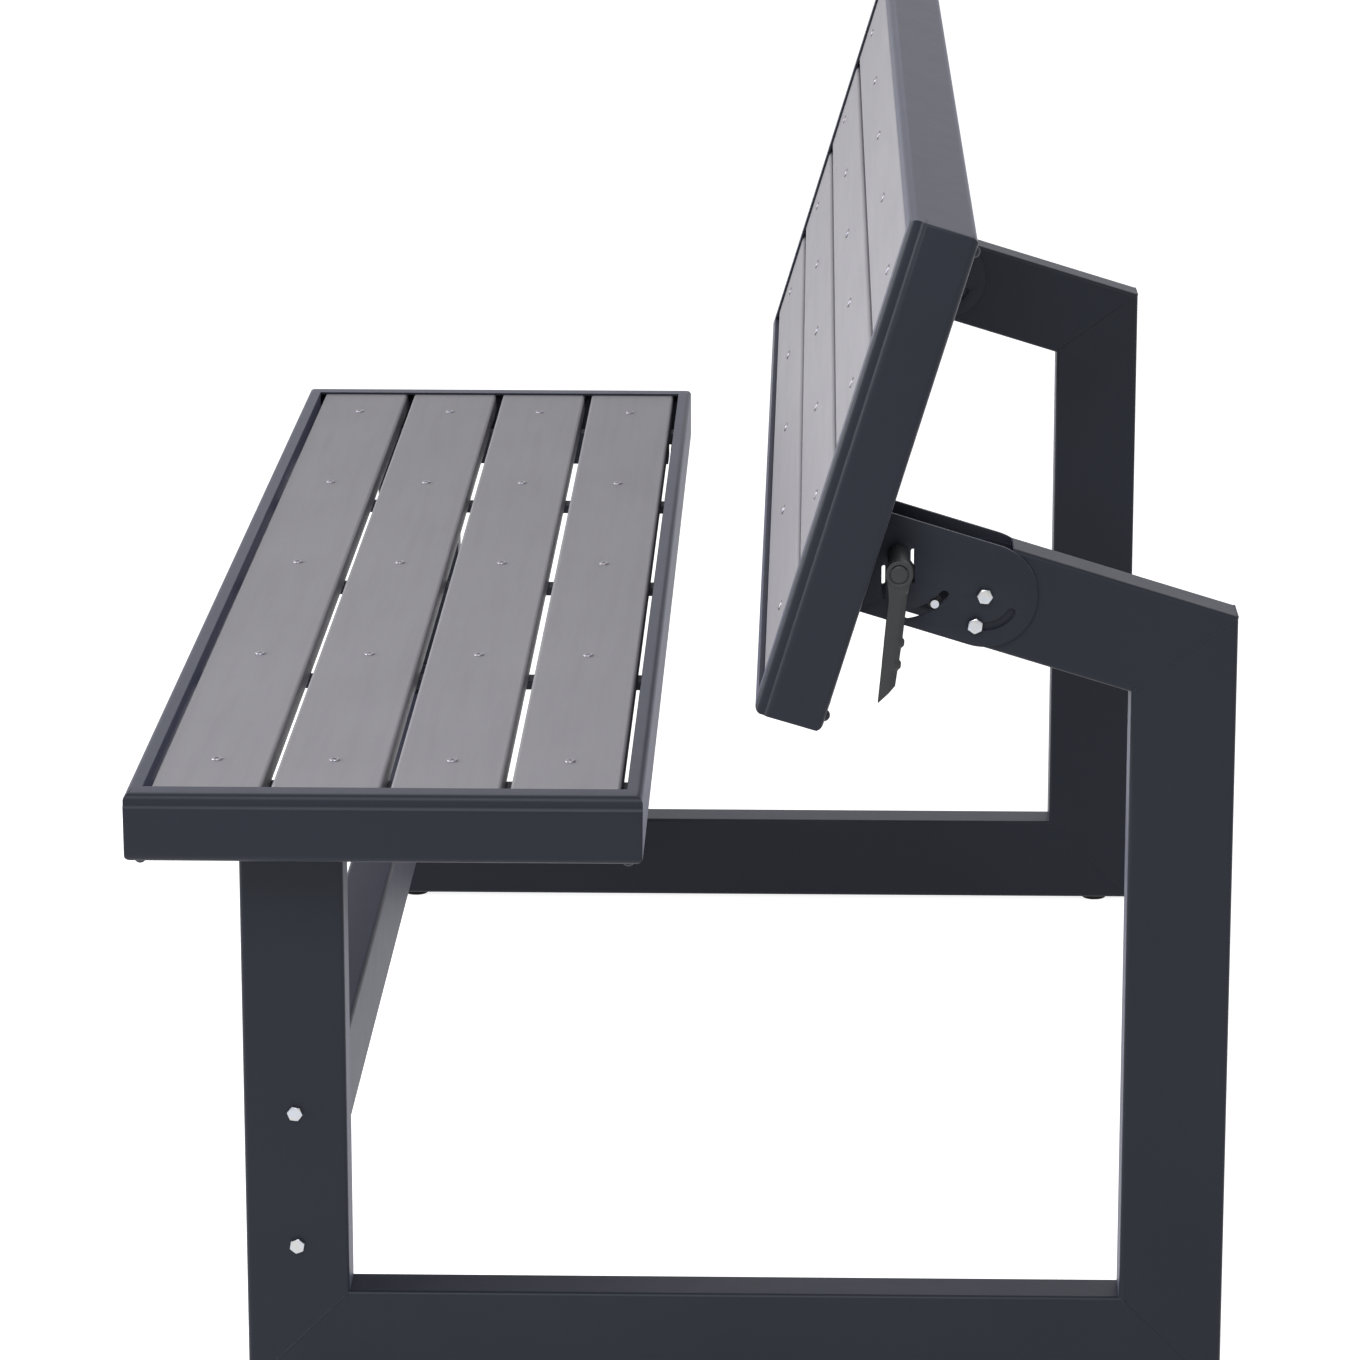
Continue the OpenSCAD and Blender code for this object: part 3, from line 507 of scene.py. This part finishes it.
# Operators
class BENCH_OT_finishes(bpy.types.Operator):
    """Make the finishes and give every CAD node the one its record names"""

    bl_idname = "bench.finishes"
    bl_label = "Finishes"

    def execute(self, context):
        s = settings().finishes
        coat_finish("powder_coat_finish", s.coat, s.coat_roughness)
        slat_finish("slat_finish", s.slat, s.slat_roughness, s.grain)
        zinc_finish("zinc_finish", s.zinc, s.zinc_roughness)
        zinc_finish("screw_head_finish", s.screw, 0.36)
        plastic_finish("lever_plastic_finish", s.lever, s.lever_roughness)
        rubber_finish("foot_rubber_finish", s.foot)
        zinc_finish("spring_steel_finish", s.wire, 0.28)
        # painted shade: this near black finish stands for the shade in the hinge brackets' slots
        zinc_finish("latch_steel_finish", s.shaft, 0.45)
        for part in frame["record"]["subparts"]:
            node = NODES[part["node"]]
            for slot in node.material_slots:
                slot.material = material_of(part["material_slot"])
        # Painted shade: the latch shafts and their links get the near black finish that stands for the shade in the
        # hinge brackets' slots.
        for side in SIDES:
            for slot in NODES[side + "_latch_shaft"].material_slots:
                slot.material = material_of("latch_steel")
        return {"FINISHED"}


class BENCH_OT_softening(bpy.types.Operator):
    """Round the springs' wire and break the edges of nuts and small bolts, by modifiers on the CAD nodes"""

    bl_idname = "bench.softening"
    bl_label = "Softening"

    MERGE = 1e-5

    def modifier(self, node, kind, **values):
        made = node.modifiers.get(kind.title()) or node.modifiers.new(kind.title(), kind)
        for key, value in values.items():
            setattr(made, key, value)

    def execute(self, context):
        for name in ("left_latch_spring", "right_latch_spring"):
            self.modifier(NODES[name], "WELD", merge_threshold=self.MERGE)
            self.modifier(NODES[name], "SUBSURF", levels=2, render_levels=2)
        for name in ("leg_nuts", "hinge_nuts", "seat_nuts", "seat_bolts", "bracket_bolts"):
            self.modifier(NODES[name], "WELD", merge_threshold=self.MERGE)
            self.modifier(NODES[name], "BEVEL", width=0.25 * MM, segments=2, limit_method="ANGLE",
                          angle_limit=math.radians(40), harden_normals=True)
        return {"FINISHED"}


class BENCH_OT_rails(bpy.types.Operator):
    """Replace the panels' rails by copies with a rounder rim, and with no step along the long sides"""

    bl_idname = "bench.rails"
    bl_label = "Panel rails"

    # The CAD rail: half the panel's length and width, the step below the rim, the rim's radius, the radius
    # of the fold under the step, and how far that fold's middle lies below the top.
    HALF_L, HALF_W, STEP, RIM, FOLD, FOLD_DROP = (v * MM for v in (700, 183, 2.4, 3.3, 6.0, 12.4))
    NEAR = 0.03 * MM

    def on_rim(self, out, down):
        """Whether a point that far inside the panel's edge and below its top lies on the rim's arc."""
        middle = self.STEP + self.RIM
        return (out < middle + self.NEAR and down < self.RIM + self.NEAR
                and abs(math.hypot(out - middle, down - self.RIM) - self.RIM) < self.NEAR)

    def on_fold(self, out, down):
        """Whether it lies on the fold's arc, outside the rim's face."""
        return (out < self.STEP + self.NEAR and down < self.FOLD_DROP
                and abs(math.hypot(out - self.FOLD, down - self.FOLD_DROP) - self.FOLD) < self.NEAR)

    def shape(self, obj, s):
        half_l, half_w, step = self.HALF_L, self.HALF_W, self.STEP
        grow = s.rim * MM / self.RIM
        spots = {}
        for v in obj.data.vertices:
            x, y, down = v.co.x, v.co.y, -v.co.z
            sx, sy = (1 if x > 0 else -1), (1 if y > 0 else -1)
            out_x, out_y = half_l - abs(x), half_w - abs(y)
            rim_x, rim_y = self.on_rim(out_x, down), self.on_rim(out_y, down)
            for key, on in ((("fold", sy), self.on_fold(out_y, down)), (("rim_y", sy), rim_y),
                            (("rim_x", sx), rim_x), ("rim", rim_x or rim_y)):
                if on:
                    spots.setdefault(key, set()).add(v.index)

        def select(key):
            pick(obj, "VERT", lambda v: v.index in spots[key])

        for sign in (1, -1):
            if ("fold", sign) in spots:
                select(("fold", sign))
                bpy.ops.transform.resize(value=(1, 0, 1), center_override=(0, sign * half_w, 0))
                object_mode()
            if ("rim_y", sign) in spots:
                select(("rim_y", sign))
                bpy.ops.transform.translate(value=(0, sign * step, 0))
                bpy.ops.transform.resize(value=(1, grow, 1), center_override=(0, sign * half_w, 0))
                object_mode()
            if ("rim_x", sign) in spots:
                select(("rim_x", sign))
                bpy.ops.transform.resize(value=(grow, 1, 1), center_override=(sign * (half_l - step), 0, 0))
                object_mode()
        select("rim")
        bpy.ops.transform.resize(value=(1, 1, grow), center_override=(0, 0, 0))
        object_mode()

    def execute(self, context):
        s = settings().rails
        for panel, body, rails in (("seat", "base", ("front_rail", "rear_rail")),
                                   ("top", "table_top", ("lower_rail", "upper_rail"))):
            at = panel_frame(panel, slat_boxes(panel), PANEL_RISE)
            for name in (*rails, "left_end", "right_end"):
                obj = merged_copy(panel + "_" + name)
                place(obj, at.inverted())
                self.shape(obj, s)
                place(obj, at)
                finish_piece(obj, f"{panel}_{name}_rolled", body, material_of("powder_coat"),
                             [panel + "_" + name], 30)
        return {"FINISHED"}


class BENCH_OT_brackets(bpy.types.Operator):
    """Replace the hinge brackets by copies with softened plate edges"""

    bl_idname = "bench.brackets"
    bl_label = "Hinge brackets"

    def execute(self, context):
        for side in SIDES:
            obj = merged_copy(side + "_hinge_bracket")
            round_edges(obj, 0.6 * MM, 3, 40)
            finish_piece(obj, side + "_bracket_plates", "table_top", material_of("powder_coat"),
                         [side + "_hinge_bracket"], 30)
        return {"FINISHED"}


class BENCH_OT_welds(bpy.types.Operator):
    """Lay an uneven weld bead round every mitred corner of the side frames"""

    bl_idname = "bench.welds"
    bl_label = "Weld beads"

    TUBE_CORNER = 3.2 * MM
    CUTS = 30

    def bead(self, side, corner, across):
        s = settings().welds
        inset = (s.radius - s.proud) * MM
        deselect()
        bpy.ops.mesh.primitive_plane_add(size=1)
        obj = bpy.context.object
        obj.scale = (TUBE_W - 2 * inset, TUBE_H - 2 * inset, 1)
        apply_place(obj)
        pick(obj, "VERT", lambda v: True)
        bpy.ops.mesh.bevel(offset=self.TUBE_CORNER - inset, segments=4, affect="VERTICES")
        bpy.ops.mesh.delete(type="ONLY_FACE")
        object_mode()
        pick(obj, "EDGE", lambda e: e.calc_length() > 0.02)
        bpy.ops.mesh.subdivide(number_cuts=self.CUTS)
        object_mode()
        axis = Vector((1, 0, 0)).cross(across).normalized()
        place(obj, Matrix((
            (1, 0, axis.x, side * abs(LATCH.x)),
            (0, across.y, axis.y, corner.y),
            (0, across.z, axis.z, corner.z),
            (0, 0, 0, 1))))
        make_active(obj)
        bpy.ops.object.convert(target="CURVE")
        obj = bpy.context.object
        obj.data.bevel_depth = s.radius * MM
        obj.data.bevel_resolution = 2
        bpy.ops.object.convert(target="MESH")
        obj = bpy.context.object
        clouds = bpy.data.textures.get("bead") or bpy.data.textures.new("bead", "CLOUDS")
        clouds.noise_scale = 0.004
        apply_modifier(obj, "DISPLACE", texture=clouds, strength=s.waver * MM, mid_level=0.5,
                       texture_coords="LOCAL")
        blobs = [obj]
        for face in (-1, 1):
            deselect()
            bpy.ops.mesh.primitive_ico_sphere_add(subdivisions=3, radius=s.blob * MM)
            blob = bpy.context.object
            blob.scale = (0.45, 1.25, 0.9)
            apply_place(blob)
            inner = corner - across * (TUBE_H / 2 - 3.4 * MM)
            place(blob, Matrix.Translation((side * abs(LATCH.x) + face * TUBE_W / 2, inner.y, inner.z)))
            blobs.append(blob)
        return join(blobs)

    def execute(self, context):
        half = TUBE_H / 2
        upright_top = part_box("left_rear_upright")[1].z
        low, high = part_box("left_ground_rail")
        rail_z, leg_y, upright_y = low.z + half, low.y + half, high.y - half
        arm_z = PIVOT.z - (upright_y - PIVOT.y) * math.tan(ARM_SLOPE)
        rise = (upright_top - arm_z) / half
        corners = [
            (Vector((0, leg_y, rail_z)), Vector((0, -1, -1))),
            (Vector((0, upright_y, rail_z)), Vector((0, 1, -1))),
            (Vector((0, upright_y, arm_z)), Vector((0, 1, rise))),
        ]
        beads = [self.bead(side, corner, across) for side in SIDES.values() for corner, across in corners]
        finish_piece(join(beads), "corner_welds", "base", material_of("powder_coat"), smooth=60)
        return {"FINISHED"}


class BENCH_OT_levers(bpy.types.Operator):
    """Model the latch levers: barrel, ringed head with an inset cap, and a slanted blade with finger bumps"""

    bl_idname = "bench.levers"
    bl_label = "Levers"

    # Distance down the blade, and its front and rear edges there, in mm: it narrows from the head, then has
    # two finger bumps on its rear edge.
    SECTIONS = [
        (0, -8.6, 8.6), (8, -7.6, 8.0), (14, -6.2, 7.6), (20, -5.5, 7.5),
        (46.5, -5.4, 7.3), (48, -5.4, 8.9), (51.5, -5.4, 8.9), (53.5, -5.3, 7.0),
        (62.5, -5.3, 6.7), (64, -5.3, 8.2), (67.5, -5.2, 8.2), (69.5, -5.2, 6.3),
        (80.5, -5.2, 5.8),
    ]

    def blade(self, s):
        """Drawn with z outwards, x down along the blade and y to its rear side."""
        back = (s.reach - 1) * MM - s.thickness * MM
        front = back + s.thickness * MM
        where, lo, hi = (v * MM for v in self.SECTIONS[0])
        obj = block((-4 * MM, lo, back), (0, hi, front))
        pick(obj, "FACE", lambda f: f.normal.x > 0.9)
        for section in self.SECTIONS[1:]:
            u, v0, v1 = (v * MM for v in section)
            extrude((u - where, (v0 + v1 - lo - hi) / 2, 0))
            bpy.ops.transform.resize(value=(1, (v1 - v0) / (hi - lo), 1), center_override=(u, (v0 + v1) / 2, 0))
            where, lo, hi = u, v0, v1
        end = s.length * MM
        extrude((end - where, 0, 0))
        object_mode()
        pick(obj, "VERT", lambda v: v.co.x > end - 1e-5 and v.co.y > 0)
        bpy.ops.transform.translate(value=(where - end + 0.6 * MM, 0.0, 0))
        object_mode()
        pick(obj, "EDGE", lambda e: all(v.co.y > 0 and v.co.z > front - 1e-5 and v.co.x > 0.012 for v in e.verts)
             and abs((e.verts[0].co - e.verts[1].co).x) > 1e-4)
        bpy.ops.mesh.bevel(offset=s.chamfer * MM, segments=1, affect="EDGES", clamp_overlap=True)
        object_mode()
        return round_edges(obj, 0.7 * MM, 3, 25)

    def head(self, s):
        high = s.reach * MM
        obj = cylinder(s.radius * MM, high - 9 * MM, high, 64)
        pick(obj, "FACE", lambda f: f.normal.z > 0.9)
        bpy.ops.mesh.inset(thickness=(s.radius - s.cap - 0.5) * MM)
        extrude((0, 0, -2.6 * MM))
        object_mode()
        return round_edges(obj, 0.9 * MM, 4, 40)

    def barrel(self, s):
        low, high = s.start * MM, (s.reach - 8) * MM
        obj = cylinder(s.barrel * MM, low, high, 64)
        pick(obj, "FACE", lambda f: f.normal.z < -0.9)
        bpy.ops.mesh.inset(thickness=(s.barrel - 5.6) * MM)
        extrude((0, 0, 4 * MM))
        object_mode()
        return round_edges(obj, 0.8 * MM, 3, 40)

    def cap(self, s):
        obj = cylinder(s.cap * MM, (s.reach - 3) * MM, (s.reach - 0.5) * MM, 64)
        pick(obj, "FACE", lambda f: f.normal.z > 0.9)
        bpy.ops.mesh.inset(thickness=1.2 * MM)
        bpy.ops.transform.translate(value=(0, 0, 0.35 * MM))
        bpy.ops.mesh.inset(thickness=2.4 * MM)
        bpy.ops.transform.translate(value=(0, 0, 0.15 * MM))
        object_mode()
        return round_edges(obj, 0.4 * MM, 2, 50)

    def execute(self, context):
        s = settings().levers
        lever = join([self.head(s), self.barrel(s), self.blade(s)])
        cap = self.cap(s)
        turn = Matrix(((0, 0, 1, 0), (math.cos(s.hang), -math.sin(s.hang), 0, 0),
                       (math.sin(s.hang), math.cos(s.hang), 0, 0), (0, 0, 0, 1)))
        for piece, name, node in ((lever, "_lever_moulding", "_latch_lever"), (cap, "_lever_button", "_lever_cap")):
            for side, sign in SIDES.items():
                make_active(piece)
                bpy.ops.object.duplicate(linked=False)
                obj = bpy.context.object
                mirror = Matrix.Diagonal((sign, 1, 1, 1))
                place(obj, mirror @ Matrix.Translation(LATCH) @ turn)
                faces_out(obj)
                finish_piece(obj, side + name, side + "_latch", material_of("lever_plastic"),
                             [side + node])
            bpy.data.objects.remove(piece)
        return {"FINISHED"}


def corner_radius(af):
    """Radius to the corners of a hexagon, from its width across flats."""
    return af / 2 / math.cos(math.radians(30))


def hex_bolt(af, head_h, shank, length):
    """Bolt with its head's underside at z = 0 and the head towards +z, with a round chamfer."""
    radius = corner_radius(af)
    flat, wide = af * 0.46, radius * 1.01
    head = cylinder(radius, 0, head_h, 6)
    drop = (wide - flat) * math.tan(math.radians(28))
    tool = cylinder(wide, -MM, head_h - drop, 48)
    pick(tool, "FACE", lambda f: f.normal.z > 0.9)
    extrude((0, 0, drop))
    bpy.ops.transform.resize(value=(flat / wide, flat / wide, 1))
    object_mode()
    cut(head, tool, "INTERSECT")
    round_edges(head, 0.12 * MM, 1, 20)
    pin = cylinder(shank, 0.6 * MM - length, 0.2 * MM, 32)
    pick(pin, "FACE", lambda f: f.normal.z < -0.9)
    extrude((0, 0, -0.6 * MM))
    bpy.ops.transform.resize(value=(0.82, 0.82, 1))
    object_mode()
    return join([head, pin])


class BENCH_OT_fasteners(bpy.types.Operator):
    """Model the bolts of the hinges and legs with chamfered heads, and the slat screws with cross recesses"""

    bl_idname = "bench.fasteners"
    bl_label = "Fasteners"

    NUT_ROOM, LEG_BOLT, RECESS, SCREW_SHANK = 7 * MM, 50 * MM, 0.7 * MM, 2.1 * MM

    def pan_head(self, radius, height, depth, shank):
        head = cylinder(radius, 0, height, 40)
        pick(head, "EDGE", lambda e: all(v.co.z > height - 1e-6 for v in e.verts))
        bpy.ops.mesh.bevel(offset=height * 0.85, segments=5, affect="EDGES", profile=0.55)
        object_mode()
        slot, low = radius * 0.13, height - depth
        for size in ((radius * 0.55, slot), (slot, radius * 0.55)):
            cut(head, block((-size[0], -size[1], low), (size[0], size[1], height + MM)))
        return join([head, cylinder(shank, -8 * MM, 0.1 * MM, 16)])

    def execute(self, context):
        s = settings().fasteners
        af, head_h, shank = s.hex_af * MM, s.head_h * MM, s.shank * MM
        signs = list(SIDES.values())
        # The hinges' pivot and stop bolts go through both plates and their nuts.
        length = 2 * PLATE_FACE + self.NUT_ROOM
        for name, node, drop, turn in (("pivot_hex_bolts", "pivot_bolts", 0.0, 12),
                                       ("stop_hex_bolts", "stop_bolts", STOP_DROP, 41)):
            bolt = hex_bolt(af, head_h, shank, length)
            places = [arm_frame(side, PLATE_FACE, 0, -drop) @ along_x(side) @ about_z(turn) for side in signs]
            finish_piece(copies(bolt, places), name, "base", material_of("zinc"), [node], 30)
        # The leg bolts' heads end where the solids' heads do.
        low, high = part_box("leg_bolts")
        outer, y, radius = high.x - head_h, (low.y + high.y) / 2, corner_radius(af)
        bolt = hex_bolt(af, head_h, shank, self.LEG_BOLT)
        places = [Matrix.Translation((side * outer, y, z)) @ along_x(side) @ about_z(turn)
                  for side in signs for z, turn in ((low.z + radius, 20), (high.z - radius, 52))]
        finish_piece(copies(bolt, places), "leg_hex_bolts", "base", material_of("zinc"), ["leg_bolts"], 30)
        # Each slat screw's cross recess has a turn of its own.
        for panel, body in (("seat", "base"), ("top", "table_top")):
            head = self.pan_head(s.screw_r * MM, s.screw_h * MM, self.RECESS, self.SCREW_SHANK)
            places = []
            for i, box in enumerate(slat_boxes(panel), 1):
                surface = panel_frame(panel, [box], SLAT_RISE)
                for row in range(SCREW_ROWS):
                    along = Matrix.Translation(((row - SCREW_ROWS // 2) * ROW_PITCH, 0, 0))
                    places.append(along @ surface @ Matrix.Rotation(0.7 * row + 1.3 * i, 4, "Z"))
            finish_piece(copies(head, places), panel + "_pan_screws", body, material_of("screw_head"),
                         [panel + "_slat_screws"], 30)
        return {"FINISHED"}


class BENCH_OT_stage(bpy.types.Operator):
    """Set the floor, the white surroundings, the soft lights and the camera"""

    bl_idname = "bench.stage"
    bl_label = "Stage"

    # Each lamp's name, place, target and size in metres, and the property that holds its power.
    LAMPS = [
        ("lamp_front", (0.3, -3.0, 1.3), (0, 0, 0.7), (3, 1.2), "front_power"),
        ("lamp_near", (3.1, -0.2, 2.7), (0.6, 0, 0.5), (1.2, 1.6), "near_power"),
    ]
    FLOOR_GREY, FLOOR_GLOW = 0.8, 0.9

    def seen_directly(self, tree):
        """1 for the camera's rays and for those that metal or glass sends on."""
        path = tree.nodes.new("ShaderNodeLightPath")
        both = math_node(tree, "MAXIMUM", path.outputs["Is Camera Ray"], path.outputs["Is Glossy Ray"])
        return math_node(tree, "MAXIMUM", both, path.outputs["Is Transmission Ray"])

    def floor(self):
        deselect()
        bpy.ops.mesh.primitive_plane_add(size=40)
        obj = bpy.context.object
        obj.name = "studio_floor"
        material, tree, output = new_tree("studio_floor")
        white = tree.nodes.new("ShaderNodeBsdfDiffuse")
        white.inputs["Color"].default_value = (self.FLOOR_GREY, self.FLOOR_GREY, self.FLOOR_GREY, 1)
        glow = tree.nodes.new("ShaderNodeEmission")
        glow.inputs["Strength"].default_value = self.FLOOR_GLOW
        both = tree.nodes.new("ShaderNodeAddShader")
        mix = tree.nodes.new("ShaderNodeMixShader")
        tree.links.new(white.outputs[0], both.inputs[0])
        tree.links.new(glow.outputs[0], both.inputs[1])
        tree.links.new(self.seen_directly(tree), mix.inputs["Fac"])
        tree.links.new(white.outputs[0], mix.inputs[1])
        tree.links.new(both.outputs[0], mix.inputs[2])
        tree.links.new(mix.outputs[0], output.inputs["Surface"])
        obj.data.materials.append(material)

    def world(self, strength):
        world = bpy.data.worlds.new("studio_white")
        bpy.context.scene.world = world
        world.use_nodes = True
        tree = world.node_tree
        tree.nodes.clear()
        output = tree.nodes.new("ShaderNodeOutputWorld")
        backdrop, sky = (tree.nodes.new("ShaderNodeBackground") for _ in range(2))
        backdrop.inputs["Strength"].default_value = 1.0
        sky.inputs["Strength"].default_value = strength
        for node in (backdrop, sky):
            node.inputs["Color"].default_value = (1, 1, 1, 1)
        mix = tree.nodes.new("ShaderNodeMixShader")
        tree.links.new(self.seen_directly(tree), mix.inputs["Fac"])
        tree.links.new(sky.outputs[0], mix.inputs[1])
        tree.links.new(backdrop.outputs[0], mix.inputs[2])
        tree.links.new(mix.outputs[0], output.inputs["Surface"])

    def lamp(self, name, place_at, target, size, power):
        deselect()
        bpy.ops.object.light_add(type="AREA", location=place_at)
        obj = bpy.context.object
        obj.name = name
        obj.data.shape = "RECTANGLE"
        obj.data.size, obj.data.size_y = size
        obj.data.energy = power
        obj.rotation_euler = (Vector(target) - Vector(place_at)).to_track_quat("-Z", "Y").to_euler()

    def camera(self, s):
        cy, sy, cp, sp = math.cos(s.yaw), math.sin(s.yaw), math.cos(s.pitch), math.sin(s.pitch)
        forward = Vector((-cp * cy, cp * sy, -sp))
        right = forward.cross(Vector((0, 0, 1))).normalized()
        up = right.cross(forward)
        cr, sr = math.cos(s.roll), math.sin(s.roll)
        right, up = cr * right + sr * up, -sr * right + cr * up
        matrix = Matrix.Identity(4)
        for i in range(3):
            matrix[i][0], matrix[i][1], matrix[i][2], matrix[i][3] = right[i], up[i], -forward[i], s.eye[i]
        deselect()
        bpy.ops.object.camera_add()
        obj = bpy.context.object
        obj.name = "studio_camera"
        obj.matrix_world = matrix
        obj.data.sensor_width = 36
        obj.data.lens = s.lens
        obj.data.shift_x, obj.data.shift_y = s.shift_x, s.shift_y
        obj.data.clip_start, obj.data.clip_end = 0.05, 100
        bpy.context.scene.camera = obj

    def execute(self, context):
        s = settings().stage
        self.floor()
        self.world(s.sky)
        for name, place_at, target, size, power in self.LAMPS:
            self.lamp(name, place_at, target, size, getattr(s, power))
        self.camera(s)
        bpy.context.scene.view_settings.view_transform = "Standard"
        return {"FINISHED"}


class BENCH_PT_panel(bpy.types.Panel):
    """Sizes and colours of the bench, and a button for each group of its pieces"""

    bl_label = "Convertible bench"
    bl_idname = "BENCH_PT_panel"
    bl_space_type = "VIEW_3D"
    bl_region_type = "UI"
    bl_category = "Bench"

    def draw(self, context):
        for operator, group in GROUPS:
            box = self.layout.box()
            box.operator(operator)
            if group:
                values = getattr(context.scene.bench, group)
                for key in values.__annotations__:
                    box.prop(values, key)


GROUPS = [
    ("bench.finishes", "finishes"),
    ("bench.softening", None),
    ("bench.rails", "rails"),
    ("bench.brackets", None),
    ("bench.welds", "welds"),
    ("bench.levers", "levers"),
    ("bench.fasteners", "fasteners"),
    ("bench.stage", "stage"),
]

CLASSES = [
    BENCH_PG_finishes, BENCH_PG_rails, BENCH_PG_welds, BENCH_PG_levers, BENCH_PG_fasteners, BENCH_PG_stage,
    BENCH_PG_all, BENCH_OT_finishes, BENCH_OT_softening, BENCH_OT_rails, BENCH_OT_brackets, BENCH_OT_welds,
    BENCH_OT_levers, BENCH_OT_fasteners, BENCH_OT_stage, BENCH_PT_panel,
]


def register():
    for cls in CLASSES:
        bpy.utils.register_class(cls)
    bpy.types.Scene.bench = bpy.props.PointerProperty(type=BENCH_PG_all)


def unregister():
    del bpy.types.Scene.bench
    for cls in reversed(CLASSES):
        bpy.utils.unregister_class(cls)


def main():
    register()
    for operator, _ in GROUPS:
        group, name = operator.split(".")
        getattr(getattr(bpy.ops, group), name)()


if __name__ == "__main__":
    main()
